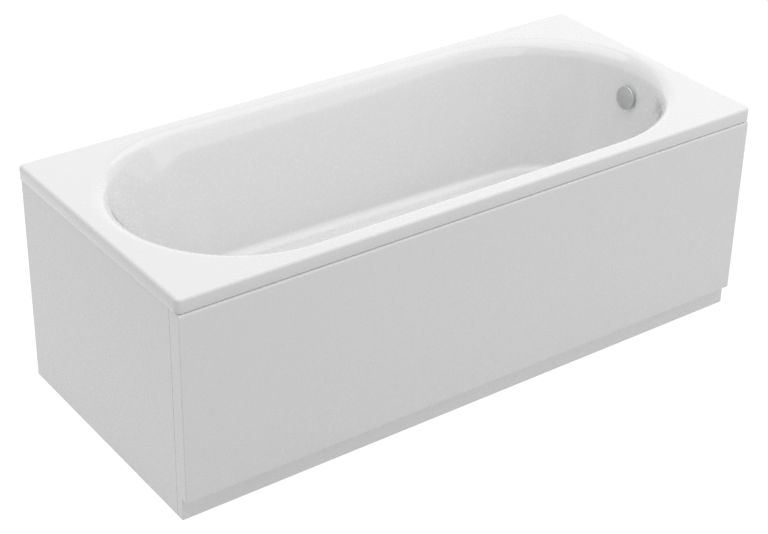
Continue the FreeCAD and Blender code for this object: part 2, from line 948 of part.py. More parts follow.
def spigot_point():
    """Where the hose's axis passes the overflow body's middle."""
    middle = (flange_face - body_flange + body_back) / 2
    return overflow_point(middle)


def hose_top():
    return spigot_point().z - spigot_reach


def overflow_body():
    flange = cylinder(body_flange_radius, flange_face - body_flange, flange_face)
    cup = cylinder(body_radius, body_back, flange_face)
    nose = cylinder(overflow_hole_radius - fit_gap, flange_face, pad_front)
    cavity = cylinder(body_radius - body_wall, body_back + body_wall, flange_face - body_flange)
    nose_bore = cylinder(overflow_hole_radius - fit_gap - nose_wall, body_back + body_wall,
                         pad_front + overrun)
    bearing = cylinder(hub_radius, body_back, body_back + bearing_depth)
    bearing_bore = cylinder(control_radius + running_gap, body_back + bearing_floor,
                            body_back + bearing_depth + overrun)
    body = flange.fuse(cup).fuse(nose).cut(cavity).cut(nose_bore)
    body = at_overflow(body.fuse(bearing).cut(bearing_bore))
    centre = spigot_point()
    spigot = cylinder(spigot_radius, hose_top(), centre.z - body_radius / 2, centre.x)
    boss = cylinder(gland_radius, cable_top(), centre.z, centre.x, cable_offset)
    room = at_overflow(cavity)
    bore = cylinder(hose_bore, hose_top() - overrun, centre.z, centre.x)
    return body.fuse(spigot.cut(room)).fuse(boss.cut(room)).cut(bore)


# Hose and cable: down from the overflow, round one bend, and along to the waste

def run_wire(x, y, top, bend, height, end):
    """Straight down, a quarter turn, and straight towards the drain."""
    start = V(x, y, top)
    turn_in = V(x, y, height + bend)
    half = bend * math.sqrt(0.5)
    turn_middle = V(x - bend + half, y, height + bend - half)
    turn_out = V(x - bend, y, height)
    finish = V(end, y, height)
    return Part.Wire([
        Part.LineSegment(start, turn_in).toShape(),
        Part.Arc(turn_in, turn_middle, turn_out).toShape(),
        Part.LineSegment(turn_out, finish).toShape(),
    ])


def pipe_along(wire, radius):
    start = wire.Edges[0].valueAt(wire.Edges[0].FirstParameter)
    heading = wire.Edges[0].tangentAt(wire.Edges[0].FirstParameter)
    circle = Part.Wire([Part.makeCircle(radius, start, heading)])
    return wire.makePipeShell([circle], True, False)


def hose_place(distance, lengths):
    """Height, reach and turn of the hose's section at a distance from its top."""
    down, bend_length, along = lengths
    x = spigot_point().x
    if distance <= down:
        return V(x, 0, hose_top() - seat_gap - distance), 0.0
    if distance <= down + bend_length:
        angle = (distance - down) / hose_bend
        reach = hose_bend * (1 - math.cos(angle))
        drop = hose_bend * math.sin(angle)
        return V(x - reach, 0, hose_level() + hose_bend - drop), math.degrees(angle)
    reach = hose_bend + distance - down - bend_length
    return V(x - reach, 0, hose_level()), 90.0


def hose_ring(distance, radius, lengths):
    place, turn = hose_place(distance, lengths)
    circle = Part.makeCircle(radius, V(0, 0, 0), UP)
    circle.rotate(V(0, 0, 0), UP, 90)
    circle.rotate(V(0, 0, 0), ACROSS, turn)
    circle.translate(place)
    return Part.Wire([circle])


def hose_lengths():
    down = hose_top() - seat_gap - hose_level() - hose_bend
    along = spigot_point().x - hose_bend - hose_end()
    return down, hose_bend * math.pi / 2, along


def hose_end():
    return drain_place + waste_radius + tee_reach + seat_gap


def overflow_hose():
    lengths = hose_lengths()
    whole = sum(lengths)
    plain = 2 * hose_crest
    ribs = int((whole - 2 * plain) / rib_pitch)
    first = (whole - ribs * rib_pitch) / 2
    rings = [hose_ring(0, hose_root, lengths)]
    for index in range(ribs):
        for share, radius in zip(rib_shares, (hose_root, hose_root, hose_crest, hose_crest)):
            distance = first + (index + share) * rib_pitch
            rings.append(hose_ring(distance, radius, lengths))
    rings.append(hose_ring(first + ribs * rib_pitch, hose_root, lengths))
    rings.append(hose_ring(whole, hose_root, lengths))
    skin = Part.makeLoft(rings, True, True)
    path = run_wire(spigot_point().x, 0, hose_top() - seat_gap + overrun, hose_bend, hose_level(),
                    hose_end() - overrun)
    return skin.cut(pipe_along(path, hose_bore))


def hose_nut():
    """A nut over the joint, zero at the joint, +Z towards the hose."""
    half = hose_nut_length / 2
    nut = gripped_nut(hose_root + fit_gap, hose_nut_radius, -half, half, hose_nut_grips)
    return nut.cut(cylinder(spigot_radius + fit_gap, -half - overrun, seat_gap))


def hose_nut_top():
    nut = hose_nut()
    nut.rotate(V(0, 0, 0), ALONG, 180)
    nut.translate(V(spigot_point().x, 0, hose_top()))
    return nut


def hose_nut_bottom():
    nut = hose_nut()
    nut.rotate(V(0, 0, 0), ACROSS, 90)
    nut.translate(V(hose_end() - seat_gap, 0, hose_level()))
    return nut


def cable_top():
    return hose_top() + gland_length / 2


def cable_end():
    return drain_place + waste_radius + gland_length


def control_cable():
    centre = spigot_point()
    path = run_wire(centre.x, cable_offset, cable_top() - seat_gap,
                    cable_bend, cable_level(), cable_end() + seat_gap)
    return pipe_along(path, cable_radius)


def cable_gland_top():
    gland = ring(cable_radius + fit_gap, gland_radius, cable_top() - seat_gap - gland_length,
                 cable_top() - seat_gap)
    gland.translate(V(spigot_point().x, cable_offset, 0))
    return gland


def cable_gland_bottom():
    gland = ring(cable_radius + fit_gap, gland_radius, 0, gland_length)
    gland.rotate(V(0, 0, 0), ACROSS, 90)
    gland.translate(V(cable_end() + seat_gap, cable_offset, cable_level()))
    return gland


# Waste, in its own frame: +Z up, zero at the seat in the tub's floor

flange_low = drain_gasket + 2 * seat_gap
flange_high = flange_low + flange_thickness
throat_radius = drain_hole_radius - fit_gap
throat_bore = throat_radius - throat_wall
throat_low = flange_low - throat_depth
plug_low = flange_high + fit_gap
stem_low = plug_low - stem_length
waste_top = -shell_wall - lower_gasket - 2 * seat_gap
waste_low = waste_top - waste_length
lever_level = stem_low - lever_gap - lever_thickness / 2
trap_top = waste_low - seat_gap
trap_lid_top = trap_top - trap_collar
skirt_low = trap_lid_top - trap_depth
cup_low = skirt_low - cup_drop


def drain_gasket_upper():
    return at_drain(ring(drain_hole_radius, drain_gasket_radius, seat_gap,
                         seat_gap + drain_gasket))


def drain_gasket_lower():
    high = -shell_wall - seat_gap
    return at_drain(ring(drain_hole_radius, drain_gasket_radius, high - lower_gasket, high))


def drain_flange():
    plate = turned([
        (throat_bore, throat_low), (throat_radius, throat_low), (throat_radius, flange_low),
        (flange_radius, flange_low), (flange_radius, flange_high - flange_edge),
        (flange_radius - flange_edge, flange_high), (cone_radius, flange_high),
        (throat_bore, flange_high - cone_depth),
    ])
    guide = cylinder(guide_radius, throat_low, throat_low + guide_height)
    pieces = [plate, guide]
    for index in range(guide_arms):
        arm = box(0, throat_bore + throat_wall / 2, -guide_arm / 2, guide_arm / 2,
                  throat_low, throat_low + guide_height)
        arm.rotate(V(0, 0, 0), UP, 360 * index / guide_arms)
        pieces.append(arm)
    whole = fused(pieces)
    bore = cylinder(stem_radius + running_gap, throat_low - overrun,
                    throat_low + guide_height + overrun)
    return at_drain(whole.cut(bore))


def drain_plug():
    """A shallow dome over the flange, with a boss for its stem."""
    rise = plug_edge + plug_crown
    edge = V(plug_radius, 0, plug_low + plug_edge)
    crown = V(0, 0, plug_low + rise)
    sphere = (plug_radius ** 2 + plug_crown ** 2) / (2 * plug_crown)
    half_turn = math.asin(plug_radius / sphere) / 2
    middle = V(sphere * math.sin(half_turn), 0,
               plug_low + rise - sphere * (1 - math.cos(half_turn)))
    boss_low = plug_low - plug_boss_height
    outline = Part.Wire([
        Part.Arc(crown, middle, edge).toShape(),
        Part.makePolygon([edge, V(plug_radius, 0, plug_low), V(plug_boss_radius, 0, plug_low),
                          V(plug_boss_radius, 0, boss_low), V(0, 0, boss_low), crown]),
    ])
    plug = Part.Face(outline).revolve(V(0, 0, 0), UP, 360)
    socket = cylinder(stem_radius + seat_gap, boss_low - overrun, plug_low + seat_gap)
    return at_drain(plug.cut(socket))


def cone_at(height):
    """Radius of the flange's cone at a height."""
    share = (flange_high - height) / cone_depth
    return cone_radius - (cone_radius - throat_bore) * share


def plug_seal():
    high = plug_low - seat_gap
    low = high - seal_height
    lip = seal_height / 2
    return at_drain(turned([
        (seal_inner, low), (cone_at(low) - fit_gap, low),
        (cone_at(high - lip) - fit_gap, high - lip), (cone_at(high - lip) - fit_gap, high),
        (seal_inner, high),
    ]))


def plug_stem():
    return at_drain(cylinder(stem_radius, stem_low, plug_low))


def lift_lever():
    """An arm on a pin: its tip lies under the stem, and the cable pulls its tail."""
    low = lever_level - lever_thickness / 2
    high = lever_level + lever_thickness / 2
    arm = box(-lever_reach, lever_pivot + lever_tail, -lever_width / 2, lever_width / 2, low, high)
    boss = Part.makeCylinder(lever_boss, lever_width, V(lever_pivot, -lever_width / 2, lever_level),
                             ACROSS)
    bore = Part.makeCylinder(pin_radius + running_gap, lever_width + 2 * overrun,
                             V(lever_pivot, -lever_width / 2 - overrun, lever_level), ACROSS)
    return at_drain(arm.fuse(boss).cut(bore))


def lever_pin():
    half = math.sqrt(waste_radius ** 2 - lever_pivot ** 2) - waste_wall / 2
    return at_drain(Part.makeCylinder(pin_radius, 2 * half, V(lever_pivot, -half, lever_level),
                                      ACROSS))


def waste_body():
    inner = waste_radius - waste_wall
    tube = turned([
        (inner, waste_top), (waste_flange_radius, waste_top),
        (waste_flange_radius, waste_top - waste_flange), (waste_radius, waste_top - waste_flange),
        (waste_radius, waste_low), (inner, waste_low),
    ])
    tube = at_drain(tube)
    reach = drain_place + inner
    spigot_end = hose_end() - seat_gap
    spigot = Part.makeCylinder(spigot_radius, spigot_end - drain_place,
                               V(drain_place, 0, hose_level()), ALONG)
    boss = Part.makeCylinder(gland_radius, cable_end() - drain_place,
                             V(drain_place, cable_offset, cable_level()), ALONG)
    room = cylinder(inner, drain_seat() + waste_low - overrun, drain_seat() + waste_top,
                    drain_place)
    bore = Part.makeCylinder(hose_bore, spigot_end + overrun - drain_place,
                             V(drain_place, 0, hose_level()), ALONG)
    pin = at_drain(Part.makeCylinder(pin_radius + fit_gap / 2, 2 * waste_radius,
                                     V(lever_pivot, -waste_radius, lever_level), ACROSS))
    return tube.fuse(spigot.cut(room)).fuse(boss.cut(room)).cut(bore).cut(pin)


def waste_union_nut():
    middle = trap_top
    return at_drain(gripped_nut(waste_radius + fit_gap, union_radius, middle - trap_collar + fit_gap,
                                middle - trap_collar + fit_gap + union_height, union_grips))


def outlet_level():
    return drain_seat() - outlet_drop


def trap_head():
    inner = waste_radius - waste_wall
    body = turned([
        (dip_radius - dip_wall, trap_lid_top - trap_lid), (inner, trap_lid_top - trap_lid / 2),
        (inner, trap_top), (waste_radius, trap_top), (waste_radius, trap_lid_top),
        (trap_radius, trap_lid_top), (trap_radius, skirt_low),
        (trap_radius - trap_wall, skirt_low), (trap_radius - trap_wall, trap_lid_top - trap_lid),
        (dip_radius, trap_lid_top - trap_lid), (dip_radius, skirt_low + dip_margin),
        (dip_radius - dip_wall, skirt_low + dip_margin),
    ])
    body = at_drain(body)
    start = V(drain_place, 0, outlet_level())
    spout = Part.makeCylinder(outlet_radius, trap_radius + outlet_length, start, ACROSS)
    spout_bore = Part.makeCylinder(pipe_neck + fit_gap, trap_radius + outlet_length + overrun,
                                   start, ACROSS)
    low = drain_seat() + skirt_low - overrun
    room = cylinder(trap_radius - trap_wall, low, drain_seat() + trap_lid_top - trap_lid,
                    drain_place)
    dip = cylinder(dip_radius + fit_gap, low, drain_seat() + trap_lid_top, drain_place)
    return body.fuse(spout.cut(room)).cut(spout_bore.cut(dip))


def trap_cup():
    inner = trap_radius + fit_gap
    outer = inner + cup_wall
    high = skirt_low + cup_lap
    cup = gripped_nut(inner, outer, cup_low + cup_floor, high, cup_grips)
    return at_drain(fused([cup, cylinder(outer - grip_depth, cup_low, cup_low + cup_floor)]))


def along_y(shape, y):
    """Turns a shape's +Z to +Y and sets it on the outlet's axis."""
    moved = shape.copy()
    moved.rotate(V(0, 0, 0), ALONG, -90)
    moved.translate(V(drain_place, y, outlet_level()))
    return moved


def spout_end():
    return trap_radius + outlet_length


def outlet_nut():
    start = spout_end() - outlet_nut_lap
    nut = gripped_nut(pipe_neck + fit_gap, outlet_nut_radius, 0, outlet_nut_length, union_grips)
    nut = nut.cut(cylinder(outlet_radius + fit_gap, -overrun, outlet_nut_lap + seat_gap))
    return along_y(nut, start)


def waste_pipe():
    """The pipe to the wall. Its neck runs through the nut into the trap's spout."""
    neck_end = pipe_lap + outlet_nut_length - outlet_nut_lap + fit_gap
    start = spout_end() - pipe_lap
    neck = cylinder(pipe_neck, 0, neck_end)
    pipe = neck.fuse(cylinder(pipe_radius, neck_end, pipe_end - start))
    bore = cylinder(pipe_bore, -overrun, pipe_end - start + overrun)
    return along_y(pipe.cut(bore), start)


def pieces():
    """Every piece of the bath by its name."""
    front, end, rear = batten_screw_points()
    found = {
        "bath_shell": bath_shell(),
        "base_board": base_board(),
        "rim_batten_front": drilled_batten(side_batten(-1), front),
        "rim_batten_rear": drilled_batten(side_batten(1), rear),
        "rim_batten_left": drilled_batten(end_batten(-1), end),
        "rim_batten_right": end_batten(1),
        "leg_rail_left": leg_rail(-1),
        "leg_rail_right": leg_rail(1),
        "rail_screws": rail_screws(),
        "foot_nuts": foot_nuts(),
        "wall_bracket_left": wall_bracket(-1),
        "wall_bracket_right": wall_bracket(1),
        "wall_bracket_screws": wall_bracket_screws(),
        "front_panel": front_panel(),
        "end_panel": end_panel(),
        "clip_screws": clip_screws(),
        "corner_strip": corner_strip(),
        "panel_stay_left": panel_stay(-1),
        "panel_stay_right": panel_stay(1),
        "stay_screws": stay_screws(),
        "overflow_grate": overflow_grate(),
        "overflow_knob": overflow_knob(),
        "overflow_spindle": overflow_spindle(),
        "cable_drum": cable_drum(),
        "overflow_gasket": overflow_gasket(),
        "overflow_body": overflow_body(),
        "overflow_hose": overflow_hose(),
        "hose_nut_top": hose_nut_top(),
        "hose_nut_bottom": hose_nut_bottom(),
        "control_cable": control_cable(),
        "cable_gland_top": cable_gland_top(),
        "cable_gland_bottom": cable_gland_bottom(),
        "drain_flange": drain_flange(),
        "drain_gasket_upper": drain_gasket_upper(),
        "drain_gasket_lower": drain_gasket_lower(),
        "drain_plug": drain_plug(),
        "plug_seal": plug_seal(),
        "plug_stem": plug_stem(),
        "lift_lever": lift_lever(),
        "lever_pin": lever_pin(),
        "waste_body": waste_body(),
        "waste_union_nut": waste_union_nut(),
        "trap_head": trap_head(),
        "trap_cup": trap_cup(),
        "outlet_nut": outlet_nut(),
        "waste_pipe": waste_pipe(),
    }
    for name, x, y in feet():
        found["foot_pad_" + name] = foot_pad(x, y)
        found["foot_spindle_" + name] = foot_spindle(x, y)
    for index, place in enumerate(front_clip_places):
        found["panel_clip_front_" + str(index + 1)] = front_clip(place)
    for index, place in enumerate(end_clip_places):
        found["panel_clip_end_" + str(index + 1)] = end_clip(place)
    return found


def main():
    os.makedirs("parts", exist_ok=True)
    for name, shape in pieces().items():
        shape.exportStep("parts/" + name + ".step")
        print(name, "solids", len(shape.Solids), "volume", round(shape.Volume), shape.isValid())


main()
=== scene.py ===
import json
import math

import bmesh
import bpy
from mathutils import Matrix, Vector


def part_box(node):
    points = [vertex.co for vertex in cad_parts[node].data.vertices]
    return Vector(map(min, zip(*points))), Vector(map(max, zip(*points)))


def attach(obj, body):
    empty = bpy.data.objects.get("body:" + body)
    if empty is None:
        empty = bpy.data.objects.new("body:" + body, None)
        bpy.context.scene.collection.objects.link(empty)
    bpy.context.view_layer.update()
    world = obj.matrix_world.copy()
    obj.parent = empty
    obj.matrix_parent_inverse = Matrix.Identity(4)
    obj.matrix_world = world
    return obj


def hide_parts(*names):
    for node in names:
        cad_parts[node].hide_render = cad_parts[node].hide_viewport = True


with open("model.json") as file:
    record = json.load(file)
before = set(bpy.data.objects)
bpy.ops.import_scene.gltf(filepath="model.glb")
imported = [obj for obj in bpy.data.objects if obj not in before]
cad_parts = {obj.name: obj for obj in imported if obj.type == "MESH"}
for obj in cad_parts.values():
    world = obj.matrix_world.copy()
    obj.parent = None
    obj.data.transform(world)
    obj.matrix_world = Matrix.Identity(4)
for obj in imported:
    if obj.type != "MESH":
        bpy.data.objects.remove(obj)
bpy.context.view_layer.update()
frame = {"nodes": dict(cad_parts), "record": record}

# Sizes are metres, in the frame of the CAD model: X from the head end to the drain end, Y from the
# front panel to the wall, Z up.
MM = 0.001

# Tub, as in the CAD source
_, tub_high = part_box("bath_shell")
RIM_TOP = tub_high.z
HALF_X = tub_high.x
HALF_Y = tub_high.y
WALL = 5 * MM
RIM_HEIGHT = 36 * MM
CORNER = 15 * MM
EDGE = 8 * MM
SKIRT_ROUND = ((0, 0.8 * MM), (0.3 * MM, 0.2 * MM), (0.9 * MM, 0))  # insets and rises
SKIRT_EASE = 0.5 * MM
HEAD_EDGE = HALF_X - 38 * MM
TAP_EDGE = HALF_X - 24 * MM
OPENING_Y = HALF_Y - 31 * MM
SIDE_LIP = 28 * MM
HEAD_LIP = 52 * MM
TAP_LIP = 44 * MM
BEND = 29 * MM
DEPTH = 345 * MM

# The floor's fall towards the drain, and the walls' slopes in degrees
FALL = 0.018
SIDE_SLOPE = 17.1
HEAD_SLOPE = 28.0
TAP_SLOPE = 8.0

# Lengths of the well's rounded ends, as shares of its half width
HEAD_SHARE = 1.0
TAP_SHARE = 1.12

# How finely the tub and the cap are drawn, and the angle in degrees from which an edge is sharp
TURN_STEPS = 30
RUN_STEPS = 26
LIP_STEPS = 18
WALL_STEPS = 18
BEND_STEPS = 18
EDGE_STEPS = 8
CORNER_STEPS = 8
DOME_STEPS = 24
ROUND_STEPS = 96
KNOB_STEPS = 128
CREASE = 32
EASE = 4 * MM       # of the narrow rows beside a bend, which keep its shading even

# Overflow and drain
PAD = 30.5 * MM
PAD_FRONT = 2 * MM
PAD_BACK = 7 * MM
PAD_EASE = 0.4 * MM
OVERFLOW_HOLE = 26 * MM
HOLE_REACH = 4 * PAD_BACK
OVERFLOW_DEPTH = 100 * MM
CAP = 32 * MM
CAP_LOW = 4 * MM
CAP_HIGH = 16 * MM
CAP_WALL = 3 * MM
CAP_EDGE = 2 * MM
CROWN = 2.2 * MM
HUB = 9 * MM
HUB_LOW = 6.4 * MM
SOCKET = 5.1 * MM
LIP_EASE = 0.4 * MM
DRAIN_X = HALF_X - 260 * MM
SEAT = 44 * MM
SEAT_DEPTH = 4.6 * MM
SEAT_PAD = 50 * MM
DRAIN_HOLE = 30 * MM
SEAT_EDGE = 2.5 * MM
SEAT_FLARE = 3 * SEAT_EDGE      # how far its cutter widens above the floor
BORE_REACH = 4 * WALL


# Meshes

def mesh_object(name, mesh):
    piece = bpy.data.objects.new(name, mesh)
    bpy.context.scene.collection.objects.link(piece)
    return piece


def solid_object(name, mesh):
    """Turns a closed mesh's faces outwards and makes an object of it."""
    bmesh.ops.recalc_face_normals(mesh, faces=mesh.faces)
    data = bpy.data.meshes.new(name)
    mesh.to_mesh(data)
    mesh.free()
    return mesh_object(name, data)


def finished(piece, body, nodes):
    """Smooths a piece between its creases and sets it in the place of its CAD nodes."""
    for polygon in piece.data.polygons:
        polygon.use_smooth = True
    piece.data.set_sharp_from_angle(angle=math.radians(CREASE))
    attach(piece, body)
    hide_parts(*nodes)
    return piece


def joined(mesh, low, high):
    """Quads between two closed loops with as many points each."""
    count = len(low)
    for index in range(count):
        after = (index + 1) % count
        mesh.faces.new((low[index], low[after], high[after], high[index]))


def filled_between(mesh, inner, outer):
    """Triangles on a flat face between two closed loops."""
    edges = []
    for loop in (inner, outer):
        for index, point in enumerate(loop):
            edges.append(mesh.edges.get((point, loop[(index + 1) % len(loop)])))
    bmesh.ops.triangle_fill(mesh, use_beauty=True, edges=edges)


def quarter_turn(steps):
    return [math.pi / 2 * index / steps for index in range(steps + 1)]


def wall_inset(depth, slope, radius, out):
    """How far a wall lies inside its opening: a lip arc, a straight wall and a floor arc.

    Out is 0 for the wall's face and the skin's thickness for its back.
    """
    lean = math.radians(slope)
    lip = radius - out
    bend = BEND + out
    bend_centre = DEPTH - BEND
    lip_end = radius - lip * math.sin(lean)
    bend_start = bend_centre + bend * math.sin(lean)
    if depth <= lip_end:
        return math.sqrt(max(lip ** 2 - (radius - depth) ** 2, 0))
    if depth <= bend_start:
        return lip * math.cos(lean) + (depth - lip_end) * math.tan(lean)
    centre = (lip + bend) * math.cos(lean) + (bend_start - lip_end) * math.tan(lean)
    return centre - math.sqrt(max(bend ** 2 - (depth - bend_centre) ** 2, 0))


def oval(depth, out, ease=0.0):
    """One level of the well. Ease draws it inwards on its own plane."""
    half = OPENING_Y - wall_inset(depth, SIDE_SLOPE, SIDE_LIP, out) - ease
    head = wall_inset(depth, HEAD_SLOPE, HEAD_LIP, out) - HEAD_EDGE + ease
    tap = TAP_EDGE - wall_inset(depth, TAP_SLOPE, TAP_LIP, out) - ease
    tap_turn = TAP_SHARE * half
    head_turn = HEAD_SHARE * half
    points = []
    for index in range(TURN_STEPS):
        angle = math.pi / 2 * index / TURN_STEPS
        points.append((tap - tap_turn + tap_turn * math.cos(angle), half * math.sin(angle)))
    for index in range(RUN_STEPS):
        share = index / RUN_STEPS
        points.append((tap - tap_turn + (head + head_turn - tap + tap_turn) * share, half))
    for index in range(TURN_STEPS + 1):
        angle = math.pi / 2 * (1 + index / TURN_STEPS)
        points.append((head + head_turn + head_turn * math.cos(angle), half * math.sin(angle)))
    mirrored = [(x, -y) for x, y in reversed(points[1:-1])]
    return [Vector((x, y, RIM_TOP - depth * (1 + FALL * x / DEPTH)))
            for x, y in points + mirrored]


def well_depths(out):
    """The well's levels, close together round its lip and its bend."""
    lip = HEAD_LIP - out
    bend = BEND + out
    depths = []
    last = math.pi / 2 - math.radians(TAP_SLOPE)
    for index in range(LIP_STEPS + 1):
        depths.append(HEAD_LIP - lip * math.cos(last * index / LIP_STEPS))
    top = depths[-1]
    first = math.radians(TAP_SLOPE)
    low = DEPTH - BEND + bend * math.sin(first)
    for index in range(1, WALL_STEPS):
        depths.append(top + (low - top) * index / WALL_STEPS)
    for index in range(BEND_STEPS + 1):
        angle = first + (math.pi / 2 - first) * index / BEND_STEPS
        depths.append(DEPTH - BEND + bend * math.sin(angle))
    return depths


def rim_loop(inset, height):
    """A rounded rectangle, this far inside the rim's outer faces."""
    radius = CORNER - inset
    points = []
    for corner, (side_x, side_y) in enumerate(((1, 1), (-1, 1), (-1, -1), (1, -1))):
        for index in range(CORNER_STEPS + 1):
            angle = math.pi / 2 * (corner + index / CORNER_STEPS)
            points.append(Vector((side_x * (HALF_X - CORNER) + radius * math.cos(angle),
                                  side_y * (HALF_Y - CORNER) + radius * math.sin(angle), height)))
    return points


def rim_profile():
    """Insets and heights from the flat top, over the edge, round the skirt and up inside."""
    rows = [(EDGE + EASE, RIM_TOP)]
    for angle in quarter_turn(EDGE_STEPS):
        rows.append((EDGE * (1 - math.sin(angle)), RIM_TOP - EDGE * (1 - math.cos(angle))))
    foot = RIM_TOP - RIM_HEIGHT
    rows += [(inset, foot + rise) for inset, rise in SKIRT_ROUND]
    rows += [(WALL - SKIRT_EASE, foot), (WALL, foot + SKIRT_EASE)]
    inner = EDGE - WALL
    for angle in quarter_turn(EDGE_STEPS):
        rows.append((WALL + inner * (1 - math.cos(angle)),
                     RIM_TOP - WALL - inner * (1 - math.sin(angle))))
    return rows


def turned(name, profile, matrix, steps=ROUND_STEPS):
    """A closed solid of revolution from its profile of radius and height, top and bottom flat."""
    mesh = bmesh.new()
    loops = []
    for radius, height in profile:
        loops.append([mesh.verts.new(matrix @ Vector((
            radius * math.cos(2 * math.pi * index / steps),
            radius * math.sin(2 * math.pi * index / steps), height))) for index in range(steps)])
    for low, high in zip(loops, loops[1:]):
        joined(mesh, low, high)
    mesh.faces.new(list(reversed(loops[0])))
    mesh.faces.new(loops[-1])
    return solid_object(name, mesh)


PLACE_ROUNDS = 8    # enough to settle where a sloping level meets the sloping wall


def overflow_matrix():
    """The overflow's own frame: +Z into the tub, +X up, zero at the wall's face."""
    place = TAP_EDGE
    for _ in range(PLACE_ROUNDS):
        depth = OVERFLOW_DEPTH / (1 + FALL * place / DEPTH)
        place = TAP_EDGE - wall_inset(depth, TAP_SLOPE, TAP_LIP, 0)
    turn = Matrix.Rotation(math.radians(TAP_SLOPE - 90), 4, "Y")
    return Matrix.Translation((place, 0, RIM_TOP - OVERFLOW_DEPTH)) @ turn


OVERFLOW = overflow_matrix()
FLOOR_Z = RIM_TOP - DEPTH * (1 + FALL * DRAIN_X / DEPTH)
DRAIN = Matrix.Translation((DRAIN_X, 0, FLOOR_Z - SEAT_DEPTH))


def tub():
    """The bath's skin. Its front has the first material and its back the second."""
    mesh = bmesh.new()

    def loop(points):
        made = [mesh.verts.new(point) for point in points]
        for index, point in enumerate(made):
            mesh.edges.new((point, made[(index + 1) % len(made)]))
        return made

    inner = [loop(oval(DEPTH, 0, EASE))]
    inner += [loop(oval(depth, 0)) for depth in reversed(well_depths(0))]
    inner.append(loop(oval(0, 0, -EASE)))
    rim = [loop(rim_loop(inset, height)) for inset, height in rim_profile()]
    under = [loop(rim_loop(EDGE + EASE, RIM_TOP - WALL))]
    outer = [loop(oval(WALL, WALL, -EASE))]
    outer += [loop(oval(depth, WALL)) for depth in well_depths(WALL)]
    outer.append(loop(oval(DEPTH + WALL, WALL, EASE)))
    for rows in (inner, rim + under):
        for low, high in zip(rows, rows[1:]):
            joined(mesh, low, high)
    filled_between(mesh, inner[-1], rim[0])
    mesh.faces.new(inner[0])
    front_faces = set(mesh.faces)
    for low, high in zip(outer, outer[1:]):
        joined(mesh, low, high)
    filled_between(mesh, outer[0], under[0])
    mesh.faces.new(outer[-1])
    for face in mesh.faces:
        face.material_index = int(face not in front_faces)
    return solid_object("tub", mesh)


def apply_cuts(piece, steps):
    """Adds or cuts each tool in turn, and leaves one plain mesh."""
    for tool, operation in steps:
        cut = piece.modifiers.new("cut", "BOOLEAN")
        cut.operation = operation
        cut.solver = "EXACT"
        cut.object = tool
    graph = bpy.context.evaluated_depsgraph_get()
    data = bpy.data.meshes.new_from_object(piece.evaluated_get(graph))
    piece.modifiers.clear()
    old = piece.data
    piece.data = data
    bpy.data.meshes.remove(old)
    for tool, _ in steps:
        bpy.data.objects.remove(tool)
    return piece


def shell():
    """The tub with the overflow's pad and hole, and the drain's boss, seat and bore."""
    pad = turned("pad", [(PAD, -PAD_BACK), (PAD, PAD_FRONT - PAD_EASE),
                         (PAD - PAD_EASE, PAD_FRONT)], OVERFLOW)
    hole = turned("hole", [(OVERFLOW_HOLE, -HOLE_REACH), (OVERFLOW_HOLE, HOLE_REACH)], OVERFLOW)
    boss = turned("boss", [(SEAT_PAD, -WALL), (SEAT_PAD, SEAT_DEPTH / 2)], DRAIN)
    seat_rows = [(SEAT, 0)]
    for angle in quarter_turn(EDGE_STEPS):
        seat_rows.append((SEAT + SEAT_EDGE * (1 - math.cos(angle)),
                          SEAT_DEPTH - SEAT_EDGE * (1 - math.sin(angle))))
    seat_rows.append((SEAT + SEAT_FLARE, SEAT_DEPTH + SEAT_EDGE))
    seat = turned("seat", seat_rows, DRAIN)
    bore = turned("bore", [(DRAIN_HOLE, -BORE_REACH), (DRAIN_HOLE, BORE_REACH)], DRAIN)
    return apply_cuts(tub(), [(pad, "UNION"), (boss, "UNION"), (hole, "DIFFERENCE"),
                              (seat, "DIFFERENCE"), (bore, "DIFFERENCE")])


def knob():
    """The overflow's cap, slightly domed, with its hub and socket behind."""
    rows = [(SOCKET, CAP_HIGH - CAP_WALL), (SOCKET, HUB_LOW), (HUB, HUB_LOW),
            (HUB, CAP_HIGH - CAP_WALL), (CAP - CAP_WALL, CAP_HIGH - CAP_WALL),
            (CAP - CAP_WALL, CAP_LOW), (CAP - LIP_EASE, CAP_LOW), (CAP, CAP_LOW + LIP_EASE)]
    dome = ((CAP - CAP_EDGE) ** 2 + CROWN ** 2) / (2 * CROWN)
    tilt = math.asin((CAP - CAP_EDGE) / dome)
    for index in range(EDGE_STEPS + 1):
        angle = (math.pi / 2 - tilt) * index / EDGE_STEPS
        rows.append((CAP - CAP_EDGE * (1 - math.cos(angle)),
                     CAP_HIGH - CROWN - CAP_EDGE * (math.cos(tilt) - math.sin(angle))))
    for index in range(1, DOME_STEPS):
        angle = tilt * (1 - index / DOME_STEPS)
        rows.append((dome * math.sin(angle), CAP_HIGH - dome * (1 - math.cos(angle))))
    return turned("knob", rows, OVERFLOW, KNOB_STEPS)


# Materials

# Most of a noise's values lie between these
NOISE_LOW = 0.3
NOISE_HIGH = 0.7

RINGS = 7       # that one full swing of the timber's noise draws


